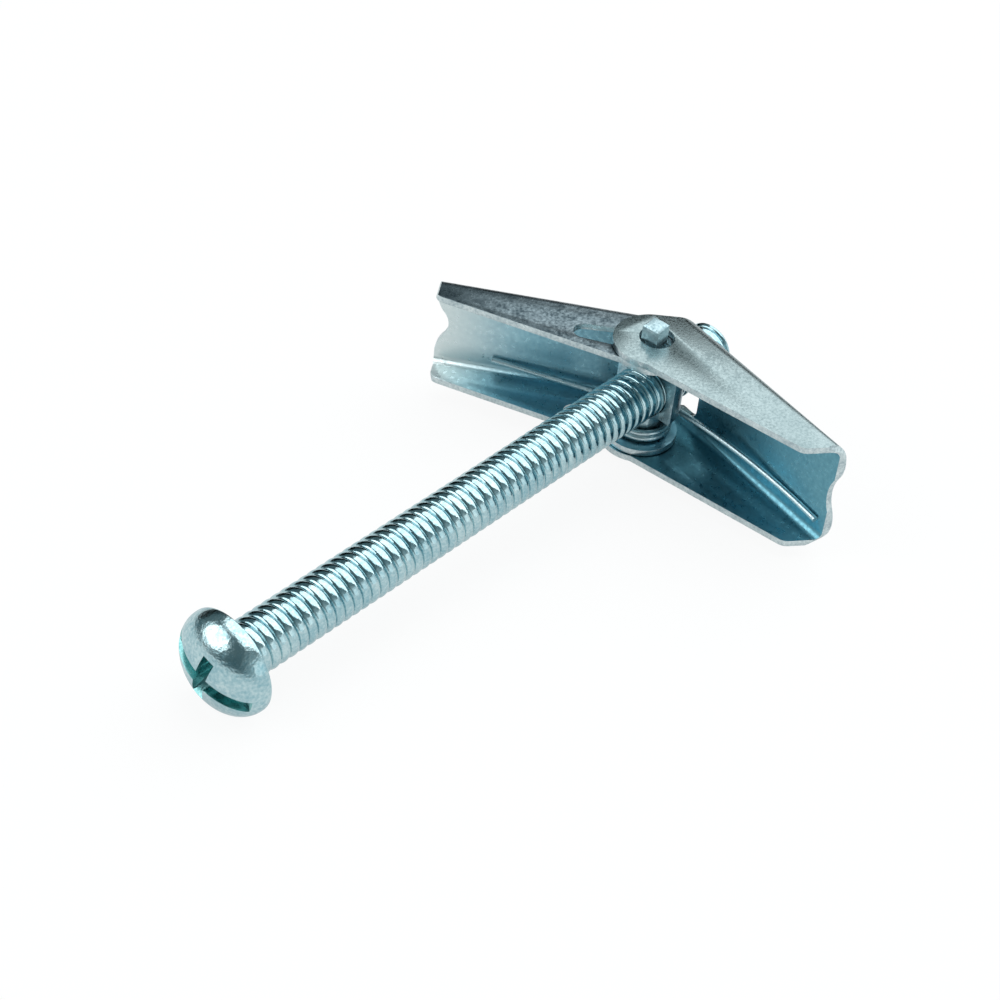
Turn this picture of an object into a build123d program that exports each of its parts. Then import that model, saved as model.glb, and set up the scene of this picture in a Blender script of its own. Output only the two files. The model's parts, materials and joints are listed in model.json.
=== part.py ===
from build123d import *

import os
from math import acos, atan2, cos, degrees, hypot, radians, sin, sqrt

# Spring toggle bolt: a round-head machine screw, a trunnion nut and two sprung folding wings.
# Lengths are in millimetres, angles in degrees. Each piece is modelled about the place where the hinge
# axis crosses the bolt: +X runs along the bolt from head to tip and +Z up the hinge. The finished set is
# then laid down as it comes to rest, on the rim of its head and one edge of its lower lug.

# Bolt: quarter-inch machine screw, three inches long under the head
thread_diameter = 6.35
bolt_length = 76.2
tip_stand_out = 12.2
tip_chamfer = 0.8
head_diameter = 12.0
head_height = 4.45
head_rim_height = 0.5
head_edge_chamfer = 0.2

# Drive: a slot right across the dome and a tapered cross recess on the same centre
drive_angle = 15.0
slot_width = 1.7
slot_depth = 2.3
recess_span = 6.4
recess_floor_span = 2.4
recess_depth = 3.2
recess_arm_width = 1.5

# Trunnion nut: upright barrel with a flat towards the head, a hub under it and a square lug at each end
barrel_diameter = 8.5
barrel_drop = 3.0
barrel_flat = 0.3
barrel_chamfer = 0.4
hub_diameter = 5.2
lug_side = 2.2
lug_turn = 5.0
lug_stand_out = 2.1
lug_end_chamfer = 0.25
thread_clearance = 0.05
shoulder_clearance = 0.04

# Both wings: channels folded from one thickness of sheet, open towards the head
sheet = 0.8
bend_radius = 0.93
outer_width = 14.78
nest_clearance = 0.12
pivot_shift = 0.4
window_clearance = 0.7
window_corner_radius = 1.5
heel = 0.1
lobe_share = 0.62
notch_mouth_share = 0.30

# Outer wing: swing is how far its tip leans towards the head from square to the bolt
outer_swing = 10.23
outer_back = 6.77
outer_length = 25.75
outer_lobe_setback = 1.2
outer_notch_depth = 1.0
outer_tip_length = 23.8
outer_tip_height = 4.9
outer_tip_radius = 1.5
outer_edge_reach = 4.39
outer_ear_radius = 4.5
outer_ear_shift = 0.3
outer_pivot_diameter = 4.1

# Inner wing: nests between the flanges of the outer one, with keyhole slots for easy assembly
inner_swing = 33.5
inner_back = 6.1
inner_length = 25.9
inner_lobe_setback = 0.4
inner_notch_depth = 1.5
inner_tip_length = 25.8
inner_tip_height = 4.1
inner_tip_radius = 1.2
inner_edge_reach = 3.95
inner_ear_radius = 4.3
inner_ear_shift = 0.3
inner_pivot_diameter = 4.0
keyhole_length = 9.3
keyhole_end_diameter = 2.6

# Torsion spring: a left-hand coil round the hub and one leg down the back of each wing
wire_diameter = 0.75
wire_sides = 8
coil_diameter = 6.44
coil_gap = 0.02
coil_turns = 2
coil_seat_clearance = 0.03
leg_clearance = 0.02
outer_leg_reach = 24.2
outer_leg_drop = 4.2
outer_leg_bow = 6.0
inner_leg_reach = 18.8
inner_leg_drop = 3.75
inner_leg_level = 3.0

# How far every cut runs past the face it opens
overrun = 1.0

# Sizes that follow from those above
thread_radius = thread_diameter / 2
head_radius = head_diameter / 2
seat_x = tip_stand_out - bolt_length
rim_x = seat_x - head_rim_height
dome_height = head_height - head_rim_height
pole_x = rim_x - dome_height
bend_outside = bend_radius + sheet
outer_half_width = outer_width / 2
inner_half_width = outer_half_width - sheet - nest_clearance
shoulder = inner_half_width - sheet - shoulder_clearance
lug_end = outer_half_width + lug_stand_out
wire_radius = wire_diameter / 2
coil_radius = coil_diameter / 2
coil_pitch = wire_diameter + coil_gap
coil_bottom = sheet + coil_seat_clearance + wire_radius - inner_half_width


def dome_drop(radius):
    """How far below its pole the dome has the given radius."""
    return dome_height * (1 - sqrt(1 - (radius / head_radius) ** 2))


def make_drive():
    """The metal taken out of the head: the slot and the tapered cross."""
    slot_run = slot_depth + overrun
    slot = Pos(X=pole_x + slot_depth - slot_run / 2) * Box(slot_run, head_diameter + overrun, slot_width)

    mouth_drop = dome_drop(recess_span / 2)
    taper = (recess_span - recess_floor_span) / 2 / (recess_depth - mouth_drop)
    recess_run = recess_depth + overrun
    top_radius = recess_floor_span / 2 + recess_run * taper
    arm = Box(recess_run, 2 * top_radius, recess_arm_width)
    cross = (arm + Rot(X=90) * arm) & Rot(Y=90) * Cone(top_radius, recess_floor_span / 2, recess_run)
    return slot + Pos(X=pole_x + recess_depth - recess_run / 2) * cross


def make_bolt():
    """Screw turned from one profile, with the drive sunk in its domed head."""
    tip_x = tip_stand_out
    dome = EllipticalCenterArc((rim_x, 0), dome_height, head_radius, 90, arc_size=90)
    outline = Polyline(
        (rim_x, head_radius),
        (seat_x - head_edge_chamfer, head_radius),
        (seat_x, head_radius - head_edge_chamfer),
        (seat_x, thread_radius),
        (tip_x - tip_chamfer, thread_radius),
        (tip_x, thread_radius - tip_chamfer),
        (tip_x, 0),
        (pole_x, 0),
    )
    screw = revolve(make_face([dome, outline]), Axis.X)
    return screw - Rot(X=drive_angle) * make_drive()


def make_trunnion_nut():
    """Barrel, hub and both lugs in one piece, with the cross hole for the bolt."""
    barrel_height = shoulder + barrel_drop
    barrel = Pos(Z=shoulder - barrel_height / 2) * Cylinder(barrel_diameter / 2, barrel_height)
    barrel = chamfer(barrel.edges().filter_by(GeomType.CIRCLE), barrel_chamfer)
    barrel = split(barrel, Plane.YZ.offset(-barrel_flat), keep=Keep.TOP)
    hub = Pos(Z=-shoulder / 2) * Cylinder(hub_diameter / 2, shoulder)
    lug = extrude(Rot(Z=lug_turn) * Rectangle(lug_side, lug_side), lug_end)
    lug = chamfer(lug.faces().sort_by(Axis.Z)[-1].edges(), lug_end_chamfer)
    bore = Rot(Y=90) * Cylinder(thread_radius + thread_clearance, barrel_diameter + overrun)
    return barrel + hub + lug + Rot(X=180) * lug - bore


def channel(half_width, back, length, reach):
    """Folded strip along X: a back with rounded bends and two flanges rising towards +Y."""
    depth = back + reach
    skin = Pos(X=-back) * Rectangle(depth, 2 * half_width, align=(Align.MIN, Align.CENTER))
    skin = fillet(skin.vertices().group_by(Axis.X)[0], bend_outside)
    hollow_width = 2 * (half_width - sheet)
    hollow = Pos(X=sheet - back) * Rectangle(depth, hollow_width, align=(Align.MIN, Align.CENTER))
    hollow = fillet(hollow.vertices().group_by(Axis.X)[0], bend_radius)
    return extrude(Plane.YZ.offset(-reach) * (skin - hollow), length + reach)


def flange_plan(back, length, tip_length, tip_height, tip_radius, edge_reach, ear_radius, ear_shift):
    """Outline of a flange seen along the hinge: round ear, straight free edge, rounded tip corner."""
    fold = Edge.make_line((-heel, -back), (length, -back))
    shoulder_round = Edge.make_circle(edge_reach)
    tip_centre = Pos(tip_length - tip_radius, tip_height - back - tip_radius)
    tip_round = tip_centre * Edge.make_circle(tip_radius)
    return make_hull([fold, shoulder_round, tip_round]) + Pos(Y=ear_shift) * Circle(ear_radius)


def tip_blank(half_width, length, lobe_setback, notch_depth, reach):
    """Outline of the back seen square on: its tip has two round lobes with a hollow between."""
    lobe = half_width * lobe_share
    mouth = half_width * notch_mouth_share
    mouth_x = length - notch_depth / 2
    corner_x = length - lobe_setback
    lower = ThreePointArc((corner_x, -half_width), (length, -lobe), (mouth_x, -mouth))
    hollow = ThreePointArc((mouth_x, -mouth), (length - notch_depth, 0), (mouth_x, mouth))
    upper = ThreePointArc((mouth_x, mouth), (length, lobe), (corner_x, half_width))
    sides = Polyline(
        (corner_x, half_width),
        (-reach, half_width),
        (-reach, -half_width),
        (corner_x, -half_width),
    )
    return make_face([lower, hollow, upper, sides])


def bolt_window(half_width, back, swing, reach):
    """Opening through the back that lets the bolt pass: it runs off the hinge end."""
    turn = radians(swing)
    bolt_side = thread_radius + window_clearance
    end_x = (bolt_side - (back - sheet) * sin(turn)) / cos(turn)
    half_height = half_width - bend_outside
    opening = Pos(X=end_x) * Rectangle(end_x + 2 * reach, 2 * half_height, align=(Align.MAX, Align.CENTER))
    opening = fillet(opening.vertices().group_by(Axis.X)[-1], window_corner_radius)
    return extrude(Plane.XZ * opening, back + overrun)


def make_wing(half_width, swing, back, length, lobe_setback, notch_depth, flange, hinge_hole):
    """One folded wing: X runs from the hinge to the tip and the free edges face +Y."""
    reach = flange.bounding_box().max.Y
    blank = tip_blank(half_width, length, lobe_setback, notch_depth, reach)
    wing = channel(half_width, back, length, reach)
    wing = wing & extrude(flange, half_width, both=True)
    wing = wing & extrude(Plane.XZ * blank, back + reach, both=True)
    wing = wing - bolt_window(half_width, back, swing, reach)
    return wing - extrude(hinge_hole, lug_end, both=True)


def make_outer_wing():
    """Wing with round pivot holes that carries the other wing between its flanges."""
    flange = flange_plan(
        outer_back,
        outer_length,
        outer_tip_length,
        outer_tip_height,
        outer_tip_radius,
        outer_edge_reach,
        outer_ear_radius,
        outer_ear_shift,
    )
    hole = Pos(Y=-pivot_shift) * Circle(outer_pivot_diameter / 2)
    wing = make_wing(
        outer_half_width,
        outer_swing,
        outer_back,
        outer_length,
        outer_lobe_setback,
        outer_notch_depth,
        flange,
        hole,
    )
    return Rot(Z=-90 - outer_swing) * Rot(X=180) * wing


def make_inner_wing():
    """Narrower wing whose pivot holes run on as tapering keyhole slots."""
    flange = flange_plan(
        inner_back,
        inner_length,
        inner_tip_length,
        inner_tip_height,
        inner_tip_radius,
        inner_edge_reach,
        inner_ear_radius,
        inner_ear_shift,
    )
    end_radius = keyhole_end_diameter / 2
    pivot_round = Pos(Y=-pivot_shift) * Edge.make_circle(inner_pivot_diameter / 2)
    end_round = Pos(keyhole_length - end_radius, -pivot_shift) * Edge.make_circle(end_radius)
    keyhole = make_hull([pivot_round, end_round])
    wing = make_wing(
        inner_half_width,
        inner_swing,
        inner_back,
        inner_length,
        inner_lobe_setback,
        inner_notch_depth,
        flange,
        keyhole,
    )
    return Rot(Z=90 + inner_swing) * wing


def wing_point(swing, side, x, y, z):
    """A point of a wing's own frame in the bolt's frame: side is 1 for inner, -1 for outer."""
    turn = radians(swing)
    return Vector(-x * sin(turn) - y * cos(turn), side * (x * cos(turn) - y * sin(turn)), z)


def leg_ends(back, reach, bow):
    """Where a leg leaves the coil and where it ends, in the plan of its wing: bow turns it to the back."""
    end_y = sheet + wire_radius + leg_clearance - back
    leave = atan2(end_y, reach) - acos(coil_radius / hypot(reach, end_y)) - radians(bow)
    return (coil_radius * cos(leave), coil_radius * sin(leave)), (reach, end_y)


def make_torsion_spring():
    """Wire that runs from the inner wing's leg, round the hub, to the outer wing's leg."""
    inner_leave, inner_end = leg_ends(inner_back, inner_leg_reach, 0)
    outer_leave, outer_end = leg_ends(outer_back, outer_leg_reach, outer_leg_bow)
    inner_start = wing_point(inner_swing, 1, *inner_leave, coil_bottom)
    outer_start = wing_point(outer_swing, -1, *outer_leave, coil_bottom)
    start_angle = degrees(atan2(inner_start.Y, inner_start.X))
    leave_angle = degrees(atan2(outer_start.Y, outer_start.X))
    turns = coil_turns + (start_angle - leave_angle) / 360
    coil_height = turns * coil_pitch
    coil = Helix(coil_pitch, coil_height, coil_radius, lefthand=True)
    coil = Pos(Z=coil_bottom) * Rot(Z=start_angle) * coil

    level_share = inner_leg_level / inner_leg_reach
    level_x = inner_leave[0] + (inner_end[0] - inner_leave[0]) * level_share
    level_y = inner_leave[1] + (inner_end[1] - inner_leave[1]) * level_share
    bend = wing_point(inner_swing, 1, level_x, level_y, coil_bottom)
    inner_tip = wing_point(inner_swing, 1, *inner_end, -inner_leg_drop)
    outer_tip = wing_point(outer_swing, -1, *outer_end, -outer_leg_drop)
    path = Wire(
        [
            Edge.make_line(inner_tip, bend),
            Edge.make_line(bend, coil @ 0),
            coil,
            TangentArc(coil @ 1, outer_tip, tangent=coil % 1),
        ]
    )
    section = Plane(inner_tip, z_dir=bend - inner_tip) * RegularPolygon(wire_radius, wire_sides)
    return sweep(section, path, is_frenet=True)


def lay_down(pieces):
    """Place the set as it comes to rest: on the rim of its head and one edge of its lower lug."""
    ahead = cos(radians(lug_turn))
    aside = sin(radians(lug_turn))
    edge_out = lug_side / 2 - lug_end_chamfer
    span = rim_x * ahead + edge_out
    root = head_radius * sqrt(span**2 + (lug_end**2 - head_radius**2) * aside**2)
    slope = -(lug_end * span + root) / (span**2 - (head_radius * aside) ** 2)
    edge = (-edge_out * ahead, -edge_out * aside, -lug_end)
    floor = Plane(edge, x_dir=(1, 0, -slope * ahead), z_dir=(slope * ahead, slope * aside, 1))
    settled = floor.location.inverse()
    box = Compound([settled * piece for piece in pieces]).bounding_box()
    return Pos(-box.center().X, -box.center().Y, -box.min.Z) * settled


models = {
    "bolt": make_bolt(),
    "trunnion_nut": make_trunnion_nut(),
    "outer_wing": make_outer_wing(),
    "inner_wing": make_inner_wing(),
    "torsion_spring": make_torsion_spring(),
}
placement = lay_down(list(models.values()))

os.makedirs("parts", exist_ok=True)
for name, model in models.items():
    placed = placement * model
    placed.label = name
    export_step(placed, f"parts/{name}.step")
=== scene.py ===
"""Spring toggle bolt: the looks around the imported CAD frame, laid out as an add-on and run as a script."""

import json
import math

import bmesh
import bpy
from bpy.props import FloatProperty, FloatVectorProperty, IntProperty, PointerProperty, StringProperty
from bpy.types import NodeSocket, Operator, Panel, PropertyGroup
from mathutils import Matrix, Vector


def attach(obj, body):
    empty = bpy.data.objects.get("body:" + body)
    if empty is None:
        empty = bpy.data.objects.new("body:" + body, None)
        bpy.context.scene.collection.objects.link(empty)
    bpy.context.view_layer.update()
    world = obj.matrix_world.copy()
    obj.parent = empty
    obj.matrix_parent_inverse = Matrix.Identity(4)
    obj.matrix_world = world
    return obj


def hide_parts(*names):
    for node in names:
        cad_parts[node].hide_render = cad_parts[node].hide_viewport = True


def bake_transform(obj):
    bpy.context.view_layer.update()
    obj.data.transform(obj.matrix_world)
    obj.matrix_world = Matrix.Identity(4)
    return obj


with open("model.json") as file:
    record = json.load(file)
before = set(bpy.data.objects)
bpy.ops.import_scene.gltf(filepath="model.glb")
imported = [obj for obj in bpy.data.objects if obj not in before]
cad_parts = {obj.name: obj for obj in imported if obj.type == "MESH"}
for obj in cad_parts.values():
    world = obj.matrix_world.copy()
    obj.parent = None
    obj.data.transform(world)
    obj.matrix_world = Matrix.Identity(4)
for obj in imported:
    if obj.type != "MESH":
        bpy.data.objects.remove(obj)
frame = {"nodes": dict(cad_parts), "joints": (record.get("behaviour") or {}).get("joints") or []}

bl_info = {
    "name": "Spring toggle bolt",
    "version": (1, 0, 0),
    "blender": (4, 5, 0),
    "location": "View3D > Sidebar > Toggle Bolt",
    "description": "Dresses the packed toggle bolt: rolled thread, folded wings, torsion spring and studio",
    "category": "Object",
}

MM = 0.001
WHITE = (1, 1, 1, 1)

# Corners of a rectangle in order, as shares of its half width and half height
CORNERS = ((1, 1), (-1, 1), (-1, -1), (1, -1))

# Zinc plate: what its noises reach, how far roughness follows the flecks, and a fleck's height
CLOUD_RANGE = (0.72, 1.28)
FLECK_RANGE = (0.3, 0.7)
ROUGHNESS_SPREAD = 0.3
FLECK_HEIGHT = 0.03 * MM

# Edges that turn by more than a bevel angle are broken, and past a sharp angle they show in the shading
HEAD_BEVEL_ANGLE = math.radians(35)
HEAD_SHARP_ANGLE = math.radians(38)
THREAD_SHARP_ANGLE = math.radians(70)
SHEET_BEVEL_ANGLE = math.radians(40)
SHEET_SHARP_ANGLE = math.radians(30)
WIRE_SHARP_ANGLE = math.radians(50)
BEVEL_STEPS = 2

# Points this near are one, and facets that turn by less than the flat angle are one face
THREAD_WELD = 0.002 * MM
FACET_WELD = 0.001 * MM
FLAT_ANGLE = math.radians(0.5)

# The inner wing lies on the set's +Y side and the outer wing on its -Y side
INNER_SIDE = 1
OUTER_SIDE = -1

# A wing's materials in order
PLATE, CHANNEL, CUT_EDGE = range(3)

# A face is cut if it looks along its wing by more than this share, or on a flange up or down by less
CUT_END_SHARE = 0.7
CUT_SIDE_SHARE = 0.3

# Where the photograph was taken from, in millimetres of the set's own frame
CAMERA_PLACE = Vector((-172.877, -121.308, 173.305))
CAMERA_AIM = Vector((-17.489, 5.672, -10.846))
CAMERA_UP = Vector((0.4523, 0.5088, 0.7325))

# How near and how far the camera sees, in metres
CLIP_NEAR = 0.01
CLIP_FAR = 50

# How far a direction leans to -Y where the studio's front wall begins and where it is full
FRONT_WALL = (-0.6, -0.9)


def set_frame():
    """The set's own frame: origin on the hinge, X along the screw to its tip, Z up the hinge."""
    joints = {joint["name"]: joint for joint in frame["joints"]}
    hinge = joints["outer_wing_hinge"]
    along = Vector(joints["bolt_feed"]["axis"]).normalized()
    up = Vector(hinge["axis"]).normalized()
    turn = Matrix((along, up.cross(along), up)).transposed()
    return Matrix.Translation(hinge["pos_m"]) @ turn.to_4x4()


SET = set_frame()


def node_points(node):
    """The corners of a CAD node in the set's own frame."""
    back = SET.inverted()
    return [back @ vertex.co for vertex in frame["nodes"][node].data.vertices]


def screw_sizes():
    """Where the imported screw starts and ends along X, and the radius of its head and of its shank."""
    points = node_points("bolt")
    pole = min(point.x for point in points)
    tip = max(point.x for point in points)
    middle = (pole + tip) / 2
    head = max(point.yz.length for point in points)
    shank = max(point.yz.length for point in points if point.x > middle)
    return pole, tip, head, shank


SCREW_POLE, SCREW_TIP, HEAD_RADIUS, SHANK_RADIUS = screw_sizes()


class ScrewSizes(PropertyGroup):
    """Sizes and colours of the machine screw."""

    pitch: FloatProperty(
        name="Pitch", description="Advance of the thread in one turn",
        default=1.27 * MM, unit="LENGTH", precision=5,
    )
    thread_depth: FloatProperty(
        name="Thread depth", description="From crest to root",
        default=0.52 * MM, unit="LENGTH", precision=5,
    )
    crest_power: FloatProperty(
        name="Crest power", description="Below 1, crests are broad and round and roots tight",
        default=0.3, min=0.2, max=2,
    )
    thread_sink: FloatProperty(
        name="Thread sink", description="Start of the thread inside the head",
        default=0.4 * MM, unit="LENGTH", precision=5,
    )
    point_chamfer: FloatProperty(
        name="Point chamfer", description="Lead-in cone at the tip",
        default=0.8 * MM, unit="LENGTH", precision=5,
    )
    dome_height: FloatProperty(
        name="Dome height", description="From the rim to the pole",
        default=3.95 * MM, unit="LENGTH", precision=5,
    )
    rim_height: FloatProperty(
        name="Rim height", description="Straight edge under the dome",
        default=0.5 * MM, unit="LENGTH", precision=5,
    )
    rim_round: FloatProperty(
        name="Rim round", description="Broken edge under the rim",
        default=0.12 * MM, unit="LENGTH", precision=5,
    )
    drive_angle: FloatProperty(
        name="Drive angle", description="Turn of the slot about the screw",
        default=math.radians(15), subtype="ANGLE",
    )
    slot_width: FloatProperty(
        name="Slot width", description="Across the driver slot",
        default=1.7 * MM, unit="LENGTH", precision=5,
    )
    slot_depth: FloatProperty(
        name="Slot depth", description="Below the pole of the dome",
        default=2.3 * MM, unit="LENGTH", precision=5,
    )
    recess_span: FloatProperty(
        name="Recess span", description="Across the cross at its mouth",
        default=6.4 * MM, unit="LENGTH", precision=5,
    )
    recess_mouth: FloatProperty(
        name="Recess mouth", description="Depth below the pole at which the cross has its span",
        default=0.6 * MM, unit="LENGTH", precision=5,
    )
    recess_floor_span: FloatProperty(
        name="Recess floor span", description="Across the cross at its floor",
        default=2.4 * MM, unit="LENGTH", precision=5,
    )
    recess_depth: FloatProperty(
        name="Recess depth", description="Below the pole of the dome",
        default=3.2 * MM, unit="LENGTH", precision=5,
    )
    recess_arm_width: FloatProperty(
        name="Recess arm width", description="Across one arm of the cross",
        default=1.5 * MM, unit="LENGTH", precision=5,
    )
    lip_round: FloatProperty(
        name="Lip round", description="Rounding of the drive's edges by plating",
        default=0.09 * MM, unit="LENGTH", precision=5,
    )
    dome_steps: IntProperty(
        name="Dome steps", description="Rings from the pole to the rim", default=28, min=8
    )
    head_segments: IntProperty(
        name="Head segments", description="Steps round the head", default=128, min=24
    )
    thread_segments: IntProperty(
        name="Thread segments", description="Steps round the thread", default=72, min=24
    )
    rows_per_turn: IntProperty(
        name="Rows per turn", description="Steps along one pitch", default=18, min=8
    )
    plate_colour: StringProperty(
        name="Plate colour", description="Zinc plate, sRGB hex", default="C7DEE1"
    )
    plate_shade: StringProperty(
        name="Plate shade", description="Darker patches of the plate", default="94BCC6"
    )
    # The drive's colours: green-blue from passivate that pools there, darkened as painted shade of the
    # recess
    recess_colour: StringProperty(
        name="Recess colour", description="Passivate pooled in the drive", default="9CCBCB"
    )
    recess_shade: StringProperty(
        name="Recess shade", description="Its darker patches", default="6FAFB1"
    )


class WingSizes(PropertyGroup):
    """Sheet, lean and colours of the pressed wings."""

    sheet: FloatProperty(
        name="Sheet", description="Thickness of the folded sheet",
        default=0.8 * MM, unit="LENGTH", precision=5,
    )
    inner_swing: FloatProperty(
        name="Inner swing", description="Lean of the inner wing to the head",
        default=math.radians(33.5), subtype="ANGLE",
    )
    outer_swing: FloatProperty(
        name="Outer swing", description="Lean of the outer wing to the head",
        default=math.radians(10.23), subtype="ANGLE",
    )
    edge_round: FloatProperty(
        name="Edge round", description="Broken edge of the sheared sheet",
        default=0.11 * MM, unit="LENGTH", precision=5,
    )
    outer_colour: StringProperty(
        name="Outer colour", description="Outer wing's plate, sRGB hex", default="9BABAD"
    )
    outer_shade: StringProperty(
        name="Outer shade", description="Its darker patches", default="819396"
    )
    inner_colour: StringProperty(
        name="Inner colour", description="Inner wing's flanges, dull plate", default="7A898F"
    )
    inner_shade: StringProperty(
        name="Inner shade", description="Their darker patches", default="3B4A51"
    )
    # Inside the inner channel: blue passivate, partly a painted dark reflection
    inner_channel: StringProperty(
        name="Inner channel", description="Blue passivate inside the inner wing", default="97C6D3"
    )
    inner_channel_shade: StringProperty(
        name="Inner channel shade", description="Its darker patches", default="88B8C8"
    )
    # Painted reflection: from the share below, the inner channel turns paler towards its tip
    tip_reflection_colour: StringProperty(
        name="Bare tip", description="Paler zinc at the inner wing's tip", default="DCE7E7"
    )
    tip_reflection_share: FloatProperty(
        name="Fade share", description="Part of the inner wing before its lining fades",
        default=0.55, subtype="FACTOR",
    )
    # Darker than the inner channel: painted shade on the outer wing's web, over blue passivate
    outer_channel: StringProperty(
        name="Outer channel", description="Thicker passivate in the outer wing", default="74ABBA"
    )
    outer_channel_shade: StringProperty(
        name="Outer channel shade", description="Its darker patches", default="689EAE"
    )
    # Near-white cut edges: a painted highlight along the sheet's edges
    edge_highlight_colour: StringProperty(
        name="Edge colour", description="Bright cut edge of the sheet", default="DDE8E9"
    )
    edge_shade: StringProperty(
        name="Edge shade", description="Its darker patches", default="AEBEC3"
    )


class NutSizes(PropertyGroup):
    """Edges and colours of the trunnion nut."""

    edge_round: FloatProperty(
        name="Edge round", description="Broken edge of the nut",
        default=0.18 * MM, unit="LENGTH", precision=5,
    )
    plate_colour: StringProperty(
        name="Plate colour", description="Nut's plate, sRGB hex", default="B9CFD4"
    )
    plate_shade: StringProperty(
        name="Plate shade", description="Its darker patches", default="8CA9B2"
    )


class SpringSizes(PropertyGroup):
    """Sizes of the torsion spring, as in the solids."""

    wire_diameter: FloatProperty(
        name="Wire diameter", description="Round spring wire",
        default=0.75 * MM, unit="LENGTH", precision=5,
    )
    coil_diameter: FloatProperty(
        name="Coil diameter", description="To the middle of the wire",
        default=6.44 * MM, unit="LENGTH", precision=5,
    )
    coil_pitch: FloatProperty(
        name="Coil pitch", description="Rise of one turn",
        default=0.77 * MM, unit="LENGTH", precision=5,
    )
    whole_turns: IntProperty(
        name="Whole turns", description="Turns besides the part between the legs", default=2, min=1
    )
    coil_bottom: FloatProperty(
        name="Coil bottom", description="Lowest turn below the screw's axis",
        default=-5.265 * MM, unit="LENGTH", precision=5,
    )
    inner_seat: FloatProperty(
        name="Inner seat", description="Wire's end from the hinge, across the inner wing",
        default=-4.905 * MM, unit="LENGTH", precision=5,
    )
    inner_reach: FloatProperty(
        name="Inner reach", description="Wire's end along the inner wing",
        default=18.8 * MM, unit="LENGTH", precision=5,
    )
    inner_level: FloatProperty(
        name="Inner level", description="Level start of the inner leg",
        default=3.0 * MM, unit="LENGTH", precision=5,
    )
    inner_drop: FloatProperty(
        name="Inner drop", description="Inner leg's end below the axis",
        default=-3.75 * MM, unit="LENGTH", precision=5,
    )
    outer_seat: FloatProperty(
        name="Outer seat", description="Wire's end from the hinge, across the outer wing",
        default=-5.575 * MM, unit="LENGTH", precision=5,
    )
    outer_reach: FloatProperty(
        name="Outer reach", description="Wire's end along the outer wing",
        default=24.2 * MM, unit="LENGTH", precision=5,
    )
    outer_bow: FloatProperty(
        name="Outer bow", description="Extra turn with which the outer leg leaves",
        default=math.radians(6), subtype="ANGLE",
    )
    outer_drop: FloatProperty(
        name="Outer drop", description="Outer leg's end below the axis",
        default=-4.2 * MM, unit="LENGTH", precision=5,
    )
    half_turn_steps: IntProperty(
        name="Half turn steps", description="Steps in half a turn of the coil", default=24, min=6
    )
    leg_steps: IntProperty(
        name="Leg steps", description="Steps along the bowed leg", default=24, min=6
    )
    wire_sides: IntProperty(
        name="Wire sides", description="Steps round the wire", default=20, min=8
    )
    wire_colour: StringProperty(
        name="Wire colour", description="Plated wire, sRGB hex", default="CFE0E3"
    )
    wire_shade: StringProperty(
        name="Wire shade", description="Its darker patches", default="B4C9CF"
    )


class StudioSizes(PropertyGroup):
    """The camera, the lamps, the card and the floor."""

    lens: FloatProperty(
        name="Lens", description="Focal length in millimetres on a 36 mm sensor", default=84.66, min=1
    )
    softbox_power: FloatProperty(
        name="Softbox power", description="Big lamp overhead", default=5.4, unit="POWER", min=0
    )
    softbox_place: FloatVectorProperty(
        name="Softbox place", description="Middle of the lamp overhead",
        default=(0.33, -0.02, 0.52), subtype="TRANSLATION", unit="LENGTH",
    )
    softbox_size: FloatVectorProperty(
        name="Softbox size", description="Width and height of the lamp overhead",
        default=(1.1, 0.87), size=2, unit="LENGTH",
    )
    fill_power: FloatProperty(
        name="Fill power", description="Lamp at the front right", default=0.9, unit="POWER", min=0
    )
    fill_place: FloatVectorProperty(
        name="Fill place", description="Middle of the lamp at the front right",
        default=(0.3, -0.5, 0.1), subtype="TRANSLATION", unit="LENGTH",
    )
    fill_size: FloatVectorProperty(
        name="Fill size", description="Width and height of the lamp at the front right",
        default=(1.2, 0.36), size=2, unit="LENGTH",
    )
    side_power: FloatProperty(
        name="Side power", description="Round lamp that the head mirrors", default=2.0, unit="POWER", min=0
    )
    side_place: FloatVectorProperty(
        name="Side place", description="Middle of the round lamp",
        default=(-0.42, 0.26, 0.36), subtype="TRANSLATION", unit="LENGTH",
    )
    side_size: FloatVectorProperty(
        name="Side size", description="Width and height of the round lamp",
        default=(0.62, 0.62), size=2, unit="LENGTH",
    )
    room_colour: StringProperty(
        name="Room colour", description="Walls of the studio", default="566A6E"
    )
    front_colour: StringProperty(
        name="Front colour", description="White wall at the front", default="A3B3B6"
    )
    card_colour: StringProperty(
        name="Card colour", description="Black card behind the set", default="0B1413"
    )
    card_place: FloatVectorProperty(
        name="Card place", description="Middle of the black card",
        default=(0.26, 0.37, 0.12), subtype="TRANSLATION", unit="LENGTH",
    )
    card_size: FloatVectorProperty(
        name="Card size", description="Width and height of the black card",
        default=(0.8, 0.23), size=2, unit="LENGTH",
    )
    floor_colour: StringProperty(
        name="Floor colour", description="Sweep of white paper", default="C9CECE"
    )
    floor_width: FloatProperty(
        name="Floor width", description="Side of the square sweep", default=12, unit="LENGTH"
    )
    floor_glow: FloatProperty(
        name="Floor glow", description="Share of plain white that the camera sees",
        default=0.86, subtype="FACTOR",
    )
    mirror_glow: FloatProperty(
        name="Mirror glow", description="Share of plain white that the metal mirrors",
        default=0.5, subtype="FACTOR",
    )
    glow_strength: FloatProperty(
        name="Glow strength", description="Level of that white, a little past paper white", default=1.06
    )


def linear(code):
    """An sRGB hex colour as linear red, green, blue and alpha, by the standard's own curve."""
    colour = []
    for place in (0, 2, 4):
        share = int(code[place : place + 2], 16) / 255
        colour.append(share / 12.92 if share <= 0.04045 else ((share + 0.055) / 1.055) ** 2.4)
    return [*colour, 1.0]


def find_socket(sockets, place):
    """A socket by its number, its identifier or its name."""
    if isinstance(place, int):
        return sockets[place]
    known = {socket.identifier: socket for socket in sockets}
    return known[place] if place in known else sockets[place]


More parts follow.
